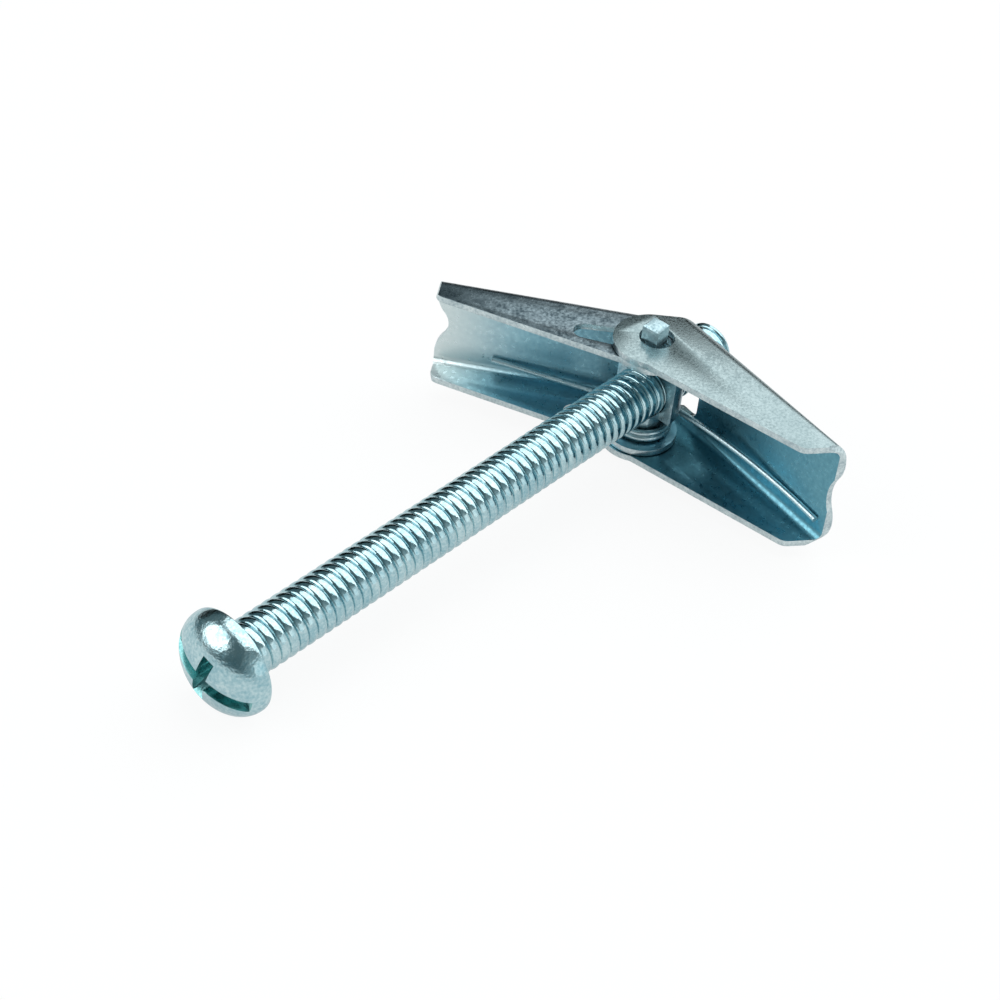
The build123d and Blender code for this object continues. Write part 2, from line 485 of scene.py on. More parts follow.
def add_node(tree, kind, inputs=None, **settings):
    """Adds one node with its settings; each input takes a value or another node's socket."""
    node = tree.nodes.new(kind)
    for name, value in settings.items():
        setattr(node, name, value)
    for place, source in (inputs or {}).items():
        socket = find_socket(node.inputs, place)
        if isinstance(source, NodeSocket):
            tree.links.new(source, socket)
        else:
            socket.default_value = source
    return node


def empty_tree(owner):
    """The node tree of a material or a world, cleared."""
    owner.use_nodes = True
    owner.node_tree.nodes.clear()
    return owner.node_tree


def per_mm(size):
    """Scale of a pattern whose marks are about that many millimetres across."""
    return 1 / (size * MM)


def zinc_plate(name, light, dark, roughness, cloud_mm, fleck_mm, fleck_depth):
    """Zinc plate with clear blue passivate: a soft mirror broken by crystal flecks, in cloudy patches.

    Real crystals are far finer: the flecks are drawn some tenths of a millimetre across so that they show.
    """
    material = bpy.data.materials.new(name)
    tree = empty_tree(material)
    place = add_node(tree, "ShaderNodeTexCoord").outputs["Object"]
    clouds = add_node(
        tree,
        "ShaderNodeTexNoise",
        {"Vector": place, "Scale": per_mm(cloud_mm), "Detail": 4.0, "Roughness": 0.6},
    )
    flecks = add_node(
        tree,
        "ShaderNodeTexNoise",
        {"Vector": place, "Scale": per_mm(fleck_mm), "Detail": 2.0, "Roughness": 0.5},
    )
    both = add_node(
        tree, "ShaderNodeMath", {0: clouds.outputs[0], 1: flecks.outputs[0]}, operation="ADD"
    )
    share = add_node(
        tree,
        "ShaderNodeMapRange",
        {"Value": both.outputs[0], "From Min": CLOUD_RANGE[0], "From Max": CLOUD_RANGE[1]},
    )
    tint = add_node(
        tree,
        "ShaderNodeMix",
        {"Factor_Float": share.outputs[0], "A_Color": linear(dark), "B_Color": linear(light)},
        data_type="RGBA",
    )
    rough = add_node(
        tree,
        "ShaderNodeMapRange",
        {
            "Value": flecks.outputs[0],
            "From Min": FLECK_RANGE[0],
            "From Max": FLECK_RANGE[1],
            "To Min": roughness * (1 + ROUGHNESS_SPREAD),
            "To Max": roughness * (1 - ROUGHNESS_SPREAD),
        },
    )
    bump = add_node(
        tree,
        "ShaderNodeBump",
        {"Height": flecks.outputs[0], "Strength": fleck_depth, "Distance": FLECK_HEIGHT},
    )
    shader = add_node(
        tree,
        "ShaderNodeBsdfPrincipled",
        {
            "Base Color": find_socket(tint.outputs, "Result_Color"),
            "Metallic": 1.0,
            "Roughness": rough.outputs[0],
            "Normal": bump.outputs[0],
        },
    )
    add_node(tree, "ShaderNodeOutputMaterial", {"Surface": shader.outputs["BSDF"]})
    return material


def paint_tip_reflection(material, colour, start, end):
    """Painted reflection at a wing's tip: blends the colour to a paler one from start to end along Y."""
    tree = material.node_tree
    shader = tree.nodes["Principled BSDF"]
    tint = shader.inputs["Base Color"].links[0].from_socket
    place = add_node(tree, "ShaderNodeTexCoord").outputs["Object"]
    spot = add_node(tree, "ShaderNodeSeparateXYZ", {"Vector": place})
    share = add_node(
        tree,
        "ShaderNodeMapRange",
        {"Value": spot.outputs["Y"], "From Min": start, "From Max": end},
        interpolation_type="SMOOTHSTEP",
    )
    paler = add_node(
        tree,
        "ShaderNodeMix",
        {"Factor_Float": share.outputs[0], "A_Color": tint, "B_Color": linear(colour)},
        data_type="RGBA",
    )
    tree.links.new(find_socket(paler.outputs, "Result_Color"), shader.inputs["Base Color"])


def link_object(name, data):
    """A new object in the scene."""
    item = bpy.data.objects.new(name, data)
    bpy.context.scene.collection.objects.link(item)
    return item


def mesh_of(form, name):
    """The mesh of a finished form, which is freed."""
    mesh = bpy.data.meshes.new(name)
    form.to_mesh(mesh)
    form.free()
    return mesh


def baked(carrier):
    """The carrier's mesh with its modifiers worked in; the carrier itself is taken away."""
    graph = bpy.context.evaluated_depsgraph_get()
    mesh = bpy.data.meshes.new_from_object(carrier.evaluated_get(graph), depsgraph=graph)
    if not mesh.polygons:
        raise RuntimeError("No faces came out of " + carrier.name)
    bpy.data.objects.remove(carrier)
    return mesh


def bevel_edges(carrier, width, angle):
    """Breaks the carrier's edges that turn by more than the angle."""
    bevel = carrier.modifiers.new("edges", "BEVEL")
    bevel.width = width
    bevel.segments = BEVEL_STEPS
    bevel.limit_method = "ANGLE"
    bevel.angle_limit = angle


def smooth(mesh, sharp):
    """Shades a mesh smoothly, but for edges that turn by more than the sharp angle."""
    mesh.shade_smooth()
    mesh.set_sharp_from_angle(angle=sharp)


def dress(mesh, name, slot, *nodes):
    """Links a finished mesh as a piece that stands for CAD nodes."""
    mesh.name = name
    piece = link_object(name, mesh)
    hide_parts(*nodes)
    return piece


def node_group(name, sizes):
    """A Geometry Nodes tree with one named input for each size, and its input and output nodes."""
    tree = bpy.data.node_groups.new(name, "GeometryNodeTree")
    tree.interface.new_socket("Geometry", in_out="INPUT", socket_type="NodeSocketGeometry")
    for label, kind in sizes.items():
        tree.interface.new_socket(label, in_out="INPUT", socket_type=kind)
    tree.interface.new_socket("Geometry", in_out="OUTPUT", socket_type="NodeSocketGeometry")
    return tree, add_node(tree, "NodeGroupInput"), add_node(tree, "NodeGroupOutput")


def run_group(carrier, tree, values):
    """Puts the tree on the carrier with its inputs set, and returns the plain mesh that it makes."""
    modifier = carrier.modifiers.new(tree.name, "NODES")
    modifier.node_group = tree
    sockets = {item.name: item.identifier for item in tree.interface.items_tree if item.in_out == "INPUT"}
    for label, value in values.items():
        modifier[sockets[label]] = value
    return baked(carrier)


def thread_tree():
    """A rolled thread as one skin: a grid wound round the screw so that its rows follow the helix."""
    tree, given, out = node_group(
        "rolled_thread",
        {
            "Length": "NodeSocketFloat",
            "Radius": "NodeSocketFloat",
            "Pitch": "NodeSocketFloat",
            "Depth": "NodeSocketFloat",
            "Crest Power": "NodeSocketFloat",
            "Point Chamfer": "NodeSocketFloat",
            "Rows": "NodeSocketInt",
            "Segments": "NodeSocketInt",
            "Turns": "NodeSocketFloat",
            "Material": "NodeSocketMaterial",
        },
    )
    position = add_node(tree, "GeometryNodeInputPosition")
    spot = add_node(tree, "ShaderNodeSeparateXYZ", {"Vector": position.outputs[0]})
    known = {socket.name: socket for socket in given.outputs}
    known["grid x"] = spot.outputs["X"]
    known["grid y"] = spot.outputs["Y"]

    # Each step names its result, its operation and its terms: the tree's inputs, earlier results or numbers
    for result, operation, *terms in (
        ("points along", "ADD", "Rows", 1),
        ("points round", "ADD", "Segments", 1),
        # The grid's place as a turn of the helix and a share of the way round it
        ("half the turns", "DIVIDE", "Turns", 2),
        ("turn from edge", "ADD", "grid x", "half the turns"),
        ("turn", "SUBTRACT", "turn from edge", 1),
        ("round share", "ADD", "grid y", 0.5),
        ("angle", "MULTIPLY", "round share", 2 * math.pi),
        # The way along the screw, cut off at both ends
        ("turned", "ADD", "turn", "round share"),
        ("wound", "MULTIPLY", "turned", "Pitch"),
        ("from start", "MAXIMUM", "wound", 0),
        ("along", "MINIMUM", "from start", "Length"),
        # The thread's form over one pitch, which rises from the root circle at the start
        ("turn share", "FRACT", "turn"),
        ("form angle", "MULTIPLY", "turn share", math.pi),
        ("bow", "SINE", "form angle"),
        ("whole bow", "MAXIMUM", "bow", 0),
        ("rise", "POWER", "whole bow", "Crest Power"),
        ("depths along", "DIVIDE", "along", "Depth"),
        ("run in", "MINIMUM", "depths along", 1),
        ("rise there", "MULTIPLY", "rise", "run in"),
        ("height", "MULTIPLY", "rise there", "Depth"),
        ("root", "SUBTRACT", "Radius", "Depth"),
        ("thread", "ADD", "root", "height"),
        # The cone at the tip
        ("point", "SUBTRACT", "Radius", "Point Chamfer"),
        ("to the tip", "SUBTRACT", "Length", "along"),
        ("cone", "ADD", "point", "to the tip"),
        ("radius", "MINIMUM", "thread", "cone"),
        # The place across the screw
        ("cosine", "COSINE", "angle"),
        ("sine", "SINE", "angle"),
        ("across", "MULTIPLY", "radius", "cosine"),
        ("up", "MULTIPLY", "radius", "sine"),
    ):
        inputs = {place: known.get(term, term) for place, term in enumerate(terms)}
        known[result] = add_node(tree, "ShaderNodeMath", inputs, operation=operation).outputs[0]

    grid = add_node(
        tree,
        "GeometryNodeMeshGrid",
        {
            "Size X": known["Turns"],
            "Size Y": 1.0,
            "Vertices X": known["points along"],
            "Vertices Y": known["points round"],
        },
    )
    wrapped = add_node(
        tree, "ShaderNodeCombineXYZ", {"X": known["along"], "Y": known["across"], "Z": known["up"]}
    )
    skin = add_node(
        tree, "GeometryNodeSetPosition", {"Geometry": grid.outputs[0], "Position": wrapped.outputs[0]}
    )
    quarter = math.pi / 2
    ends = []
    for radius, place, tilt in (
        (known["root"], 0, -quarter),
        (known["point"], known["Length"], quarter),
    ):
        disc = add_node(
            tree,
            "GeometryNodeMeshCircle",
            {"Vertices": known["Segments"], "Radius": radius},
            fill_type="NGON",
        )
        shift = add_node(tree, "ShaderNodeCombineXYZ", {"X": place})
        ends.append(
            add_node(
                tree,
                "GeometryNodeTransform",
                {"Geometry": disc.outputs[0], "Translation": shift.outputs[0], "Rotation": (0, tilt, 0)},
            )
        )
    whole = add_node(tree, "GeometryNodeJoinGeometry")
    for part in (skin, *ends):
        tree.links.new(part.outputs[0], whole.inputs[0])
    closed = add_node(
        tree, "GeometryNodeMergeByDistance", {"Geometry": whole.outputs[0], "Distance": THREAD_WELD}
    )
    real = add_node(tree, "GeometryNodeRealizeInstances", {"Geometry": closed.outputs[0]})
    plated = add_node(
        tree, "GeometryNodeSetMaterial", {"Geometry": real.outputs[0], "Material": known["Material"]}
    )
    tree.links.new(plated.outputs[0], out.inputs[0])
    return tree


def wire_tree():
    """Round wire along the carrier's own curve, closed at both ends."""
    tree, given, out = node_group(
        "round_wire",
        {"Diameter": "NodeSocketFloat", "Sides": "NodeSocketInt", "Material": "NodeSocketMaterial"},
    )
    take = given.outputs
    radius = add_node(tree, "ShaderNodeMath", {0: take["Diameter"], 1: 2.0}, operation="DIVIDE")
    section = add_node(
        tree,
        "GeometryNodeCurvePrimitiveCircle",
        {"Resolution": take["Sides"], "Radius": radius.outputs[0]},
    )
    tube = add_node(
        tree,
        "GeometryNodeCurveToMesh",
        {"Curve": take["Geometry"], "Profile Curve": section.outputs[0], "Fill Caps": True},
    )
    real = add_node(tree, "GeometryNodeRealizeInstances", {"Geometry": tube.outputs[0]})
    plated = add_node(
        tree, "GeometryNodeSetMaterial", {"Geometry": real.outputs[0], "Material": take["Material"]}
    )
    tree.links.new(plated.outputs[0], out.inputs[0])
    return tree


def turned_skin(profile, segments):
    """A closed solid turned about X from (x, radius) pairs that start and end on the axis."""
    form = bmesh.new()
    poles = [form.verts.new((profile[0][0], 0, 0)), form.verts.new((profile[-1][0], 0, 0))]
    rings = []
    for x, radius in profile[1:-1]:
        ring = []
        for step in range(segments):
            angle = 2 * math.pi * step / segments
            ring.append(form.verts.new((x, radius * math.cos(angle), radius * math.sin(angle))))
        rings.append(ring)
    for step in range(segments):
        after = (step + 1) % segments
        form.faces.new((poles[0], rings[0][after], rings[0][step]))
        form.faces.new((poles[1], rings[-1][step], rings[-1][after]))
        for low, high in zip(rings, rings[1:]):
            form.faces.new((low[step], low[after], high[after], high[step]))
    bmesh.ops.recalc_face_normals(form, faces=form.faces)
    return mesh_of(form, "turned")


def tapered_bar(x_top, x_floor, top_span, floor_span, width, angle):
    """A bar across the screw's axis that narrows from top span to floor span, as a cutter."""
    form = bmesh.new()
    points = []
    for x, span in ((x_top, top_span), (x_floor, floor_span)):
        for across, side in CORNERS:
            points.append(form.verts.new((x, across * span / 2, side * width / 2)))
    bmesh.ops.convex_hull(form, input=points)
    bmesh.ops.rotate(form, verts=form.verts, matrix=Matrix.Rotation(angle, 3, "X"))
    bmesh.ops.recalc_face_normals(form, faces=form.faces)
    return mesh_of(form, "cutter")


class TOGGLEBOLT_OT_screw(Operator):
    """Build the domed head with its drive, and the rolled thread"""

    bl_idname = "toggle_bolt.screw"
    bl_label = "Screw"

    def execute(self, context):
        sizes = context.scene.toggle_screw
        # Rolling dies burnish the thread before it is plated, so its plate is almost a mirror
        burnished = zinc_plate(
            "zinc_plated_steel_screw", sizes.plate_colour, sizes.plate_shade,
            roughness=0.14, cloud_mm=3.0, fleck_mm=0.3, fleck_depth=0.5,
        )
        # The struck head keeps small dents under the same plate, so what it mirrors is speckled
        speckled = zinc_plate(
            "zinc_plated_steel_head", sizes.plate_colour, sizes.plate_shade,
            roughness=0.2, cloud_mm=2.0, fleck_mm=0.35, fleck_depth=1.0,
        )
        # Passivate that pools in the drive gives it a deep green-blue, and its darker tone there is painted
        # shade of the recess
        pooled_and_shaded = zinc_plate(
            "zinc_plate_pooled_passivate_and_painted_shade", sizes.recess_colour, sizes.recess_shade,
            roughness=0.2, cloud_mm=1.0, fleck_mm=0.3, fleck_depth=0.3,
        )
        seat = SCREW_POLE + sizes.dome_height + sizes.rim_height
        self.make_head(sizes, seat, speckled, pooled_and_shaded)
        self.make_thread(sizes, seat, burnished)
        return {"FINISHED"}

    def head_profile(self, sizes, seat):
        """The head's outline from the pole over dome, rim and underside to the axis."""
        rim = seat - sizes.rim_height
        outline = []
        for step in range(sizes.dome_steps + 1):
            lean = math.pi / 2 * step / sizes.dome_steps
            outline.append((rim - sizes.dome_height * math.cos(lean), HEAD_RADIUS * math.sin(lean)))
        edge = sizes.rim_round
        outline.append((seat - 2 * edge, HEAD_RADIUS))
        outline.append((seat - edge / 2, HEAD_RADIUS - edge / 2))
        outline.append((seat, HEAD_RADIUS - 2 * edge))
        outline.append((seat, SHANK_RADIUS))
        outline.append((seat, 0))
        return outline

    def drive_bars(self, sizes):
        """What the drive takes out of the dome: the slot from rim to rim, and both arms of the cross."""
        over = SCREW_POLE - sizes.slot_depth
        slot_floor = SCREW_POLE + sizes.slot_depth
        # Half as long again as the head is wide, so that the slot runs out at the rim
        slot_span = 3 * HEAD_RADIUS
        bars = [tapered_bar(over, slot_floor, slot_span, slot_span, sizes.slot_width, sizes.drive_angle)]
        cross_floor = SCREW_POLE + sizes.recess_depth
        floor_span = sizes.recess_floor_span
        taper = (sizes.recess_span - floor_span) / (sizes.recess_depth - sizes.recess_mouth)
        over_span = floor_span + taper * (sizes.recess_depth + sizes.slot_depth)
        width = sizes.recess_arm_width
        for angle in (sizes.drive_angle, sizes.drive_angle + math.pi / 2):
            bars.append(tapered_bar(over, cross_floor, over_span, floor_span, width, angle))
        return bars

    def make_head(self, sizes, seat, plate, pooled_and_shaded):
        """The domed head with slot and cross recess, its edges softened by plating."""
        skin = turned_skin(self.head_profile(sizes, seat), sizes.head_segments)
        skin.materials.append(plate)
        head = link_object("head_carrier", skin)
        cutters = []
        for bar in self.drive_bars(sizes):
            bar.materials.append(pooled_and_shaded)
            cutter = link_object("drive_cutter", bar)
            cutters.append(cutter)
            cut = head.modifiers.new("drive", "BOOLEAN")
            cut.operation = "DIFFERENCE"
            cut.solver = "EXACT"
            cut.material_mode = "TRANSFER"
            cut.object = cutter
        bevel_edges(head, sizes.lip_round, HEAD_BEVEL_ANGLE)
        mesh = baked(head)
        for cutter in cutters:
            bpy.data.objects.remove(cutter)
        smooth(mesh, HEAD_SHARP_ANGLE)
        mesh.transform(SET)
        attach(dress(mesh, "screw_head", "zinc_screw", "bolt"), "bolt")

    def make_thread(self, sizes, seat, plate):
        """The rolled thread from inside the head to the chamfered tip."""
        start = seat - sizes.thread_sink
        length = SCREW_TIP - start
        # One turn more at each end, which the tree cuts off level
        turns = math.ceil(length / sizes.pitch) + 2
        mesh = run_group(
            link_object("thread_carrier", bpy.data.meshes.new("thread")),
            thread_tree(),
            {
                "Length": length,
                "Radius": SHANK_RADIUS,
                "Pitch": sizes.pitch,
                "Depth": sizes.thread_depth,
                "Crest Power": sizes.crest_power,
                "Point Chamfer": sizes.point_chamfer,
                "Rows": turns * sizes.rows_per_turn,
                "Segments": sizes.thread_segments,
                "Turns": float(turns),
                "Material": plate,
            },
        )
        smooth(mesh, THREAD_SHARP_ANGLE)
        mesh.transform(SET @ Matrix.Translation((start, 0, 0)))
        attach(dress(mesh, "screw_thread", "zinc_screw", "bolt"), "bolt")


def broken_edges(node, width):
    """A copy of a CAD node, its facets merged and its edges broken as tumbling and plating leave them."""
    form = bmesh.new()
    form.from_mesh(frame["nodes"][node].data)
    bmesh.ops.remove_doubles(form, verts=form.verts, dist=FACET_WELD)
    bmesh.ops.dissolve_limit(form, angle_limit=FLAT_ANGLE, verts=form.verts, edges=form.edges)
    carrier = link_object("edge_carrier", mesh_of(form, node))
    bevel_edges(carrier, width, SHEET_BEVEL_ANGLE)
    mesh = baked(carrier)
    mesh.materials.clear()
    smooth(mesh, SHEET_SHARP_ANGLE)
    return mesh


def wing_point(swing, side, x, y, z):
    """A point of a wing's own frame, X out along the wing and Y away from its back, in the set's."""
    along = -x * math.sin(swing) - y * math.cos(swing)
    across = side * (x * math.cos(swing) - y * math.sin(swing))
    return Vector((along, across, z))


def wing_place(swing, side, point):
    """A point of the set's frame in a wing's own, the other way round from wing_point."""
    across = side * point.y
    x = -point.x * math.sin(swing) + across * math.cos(swing)
    y = -point.x * math.cos(swing) - across * math.sin(swing)
    return Vector((x, y, point.z))


class TOGGLEBOLT_OT_wings(Operator):
    """Build both pressed wings"""

    bl_idname = "toggle_bolt.wings"
    bl_label = "Wings"

    def execute(self, context):
        sizes = context.scene.toggle_wings
        # Pressed sheet under even plate is satin grey, with broad faint clouds
        even = zinc_plate(
            "zinc_plated_sheet_outer", sizes.outer_colour, sizes.outer_shade,
            roughness=0.3, cloud_mm=5.0, fleck_mm=0.3, fleck_depth=0.3,
        )
        # The inner wing's flanges get a darker, blotched plate than the outer's
        dull = zinc_plate(
            "zinc_plated_sheet_dull", sizes.inner_colour, sizes.inner_shade,
            roughness=0.34, cloud_mm=1.6, fleck_mm=0.35, fleck_depth=0.5,
        )
        # The channels are smoother and bluer: partly blue passivate, partly a painted dark reflection; the
        # outer channel is darker still, which is painted shade
        outer_lining_shaded = zinc_plate(
            "zinc_plate_outer_passivate_painted_shade", sizes.outer_channel, sizes.outer_channel_shade,
            roughness=0.36, cloud_mm=6.0, fleck_mm=0.5, fleck_depth=0.05,
        )
        blue = zinc_plate(
            "zinc_plate_blue_passivate_painted_reflection", sizes.inner_channel, sizes.inner_channel_shade,
            roughness=0.36, cloud_mm=6.0, fleck_mm=0.5, fleck_depth=0.05,
        )
        # Painted reflection of the bright floor, paler towards the inner wing's tip
        hinge = SET.translation.y
        tip = max(vertex.co.y for vertex in frame["nodes"]["inner_wing"].data.vertices)
        paint_tip_reflection(blue, sizes.tip_reflection_colour, hinge + sizes.tip_reflection_share * (tip - hinge), tip)
        # The cut edge is near white, a painted highlight along the sheet's edges; shearing leaves it half
        # smooth and half torn
        sheared = zinc_plate(
            "zinc_plated_cut_edge_painted_highlight", sizes.edge_highlight_colour, sizes.edge_shade,
            roughness=0.35, cloud_mm=2.0, fleck_mm=0.3, fleck_depth=0.4,
        )
        for node, materials, swing, side in (
            ("outer_wing", (even, outer_lining_shaded, sheared), sizes.outer_swing, OUTER_SIDE),
            ("inner_wing", (dull, blue, sheared), sizes.inner_swing, INNER_SIDE),
        ):
            mesh = broken_edges(node, sizes.edge_round)
            for material in materials:
                mesh.materials.append(material)
            self.paint_faces(mesh, node, swing, side, sizes.sheet)
            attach(dress(mesh, node + "_plated", "zinc_sheet", node), node)
        return {"FINISHED"}

    def paint_faces(self, mesh, node, swing, side, sheet):
        """Sorts a wing's faces into its outside, the inside of its channel and its cut edges."""
        points = [wing_place(swing, side, point) for point in node_points(node)]
        flange = max(point.z for point in points) - sheet
        back = min(point.y for point in points) + sheet
        # Room for the facets of the bends
        slack = sheet / 10
        turn = SET.inverted()
        for face in mesh.polygons:
            middle = wing_place(swing, side, turn @ face.center)
            facing = wing_place(swing, side, turn.to_3x3() @ face.normal)
            on_flange = abs(middle.z) > flange + slack and middle.y > back + slack
            in_channel = abs(middle.z) < flange + slack and middle.y > back - slack
            if abs(facing.x) > CUT_END_SHARE or (on_flange and abs(facing.z) < CUT_SIDE_SHARE):
                face.material_index = CUT_EDGE
            elif in_channel:
                face.material_index = CHANNEL
            else:
                face.material_index = PLATE


class TOGGLEBOLT_OT_nut(Operator):
    """Build the trunnion nut between the wings"""

    bl_idname = "toggle_bolt.nut"
    bl_label = "Nut"

    def execute(self, context):
        sizes = context.scene.toggle_nut
        # Turned steel under thin plate is an even satin grey
        satin = zinc_plate(
            "zinc_plated_nut", sizes.plate_colour, sizes.plate_shade,
            roughness=0.34, cloud_mm=2.0, fleck_mm=0.3, fleck_depth=0.2,
        )
        mesh = broken_edges("trunnion_nut", sizes.edge_round)
        mesh.materials.append(satin)
        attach(dress(mesh, "trunnion_nut_plated", "zinc_nut", "trunnion_nut"), "trunnion")
        return {"FINISHED"}


def leave_angle(radius, reach, seat, bow):
    """Angle in a wing's own plan at which a leg leaves the coil."""
    return math.atan2(seat, reach) - math.acos(radius / math.hypot(reach, seat)) - bow


def tangent_arc(start, heading, end, steps):
    """Points of the arc that leaves start along heading and reaches end."""
    chord = end - start
    lean = heading.angle(chord)
    radius = chord.length / (2 * math.sin(lean))
    inward = (chord - heading * chord.dot(heading)).normalized()
    points = []
    for step in range(steps + 1):
        angle = 2 * lean * step / steps
        points.append(start + radius * (heading * math.sin(angle) + inward * (1 - math.cos(angle))))
    return points


class TOGGLEBOLT_OT_spring(Operator):
    """Build the torsion spring: each leg goes with its wing, and the coil stays where it is between them"""

    bl_idname = "toggle_bolt.spring"
    bl_label = "Spring"

    def execute(self, context):
        sizes = context.scene.toggle_spring
        wings = context.scene.toggle_wings
        # Drawn wire is smooth under thin plate, so it shows as a pale, soft-edged line
        wire = zinc_plate(
            "zinc_plated_spring_wire", sizes.wire_colour, sizes.wire_shade,
            roughness=0.34, cloud_mm=2.0, fleck_mm=0.3, fleck_depth=0.15,
        )
        inner_leg = self.inner_leg(sizes, wings.inner_swing)
        first = math.atan2(inner_leg[-1].y, inner_leg[-1].x)
        last = self.outer_start(sizes, wings.outer_swing)
        coil = self.coil(sizes, first, last)
        half = len(coil) // 2
        paths = {
            "spring_leg_inner": inner_leg,
            "spring_coil_inner": coil[: half + 1],
            "spring_coil_outer": coil[half:],
            "spring_leg_outer": self.outer_leg(sizes, wings.outer_swing, coil[-1], last),
        }
        tree = wire_tree()
        pieces = {}
        for name, points in paths.items():
            pieces[name] = self.make_wire(sizes, tree, name, points, wire)
        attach(pieces["spring_leg_inner"], "inner_wing")
        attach(pieces["spring_leg_outer"], "outer_wing")
        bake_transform(pieces["spring_coil_inner"])
        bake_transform(pieces["spring_coil_outer"])
        return {"FINISHED"}

    def inner_leg(self, sizes, swing):
        """The inner leg from its tip: a long slope and a level stretch up to the coil."""
        radius = sizes.coil_diameter / 2
        leave = leave_angle(radius, sizes.inner_reach, sizes.inner_seat, 0)
        start = Vector((radius * math.cos(leave), radius * math.sin(leave)))
        tip = Vector((sizes.inner_reach, sizes.inner_seat))
        bend = start.lerp(tip, sizes.inner_level / sizes.inner_reach)
        return [
            wing_point(swing, INNER_SIDE, tip.x, tip.y, sizes.inner_drop),
            wing_point(swing, INNER_SIDE, bend.x, bend.y, sizes.coil_bottom),
            wing_point(swing, INNER_SIDE, start.x, start.y, sizes.coil_bottom),
        ]

    def outer_start(self, sizes, swing):
        """Angle about the hinge at which the outer leg leaves the coil."""
        radius = sizes.coil_diameter / 2
        leave = leave_angle(radius, sizes.outer_reach, sizes.outer_seat, sizes.outer_bow)
        start = wing_point(swing, OUTER_SIDE, radius * math.cos(leave), radius * math.sin(leave), 0)
        return math.atan2(start.y, start.x)

    def coil(self, sizes, first, last):
        """The coil from the inner leg up to the outer one, in an even number of steps."""
        radius = sizes.coil_diameter / 2
        turns = sizes.whole_turns + (first - last) / (2 * math.pi)
        steps = 2 * round(sizes.half_turn_steps * turns)
        points = []
        for step in range(steps + 1):
            done = turns * step / steps
            angle = first - 2 * math.pi * done
            height = sizes.coil_bottom + sizes.coil_pitch * done
            points.append(Vector((radius * math.cos(angle), radius * math.sin(angle), height)))
        return points

    def outer_leg(self, sizes, swing, start, last):
        """The bowed outer leg, which leaves the coil without a bend."""
        rise = sizes.coil_pitch / (math.pi * sizes.coil_diameter)
        heading = Vector((math.sin(last), -math.cos(last), rise)).normalized()
        tip = wing_point(swing, OUTER_SIDE, sizes.outer_reach, sizes.outer_seat, sizes.outer_drop)
        return tangent_arc(start, heading, tip, sizes.leg_steps)

    def make_wire(self, sizes, tree, name, points, material):
        """One piece of the spring along its points."""
        curve = bpy.data.curves.new(name, "CURVE")
        curve.dimensions = "3D"
        spline = curve.splines.new("POLY")
        spline.points.add(len(points) - 1)
        for point, place in zip(spline.points, points):
            point.co = (*place, 1)
        mesh = run_group(
            link_object(name + "_carrier", curve),
            tree,
            {"Diameter": sizes.wire_diameter, "Sides": sizes.wire_sides, "Material": material},
        )
        smooth(mesh, WIRE_SHARP_ANGLE)
        mesh.transform(SET)
        return dress(mesh, name, "spring_wire", "torsion_spring")


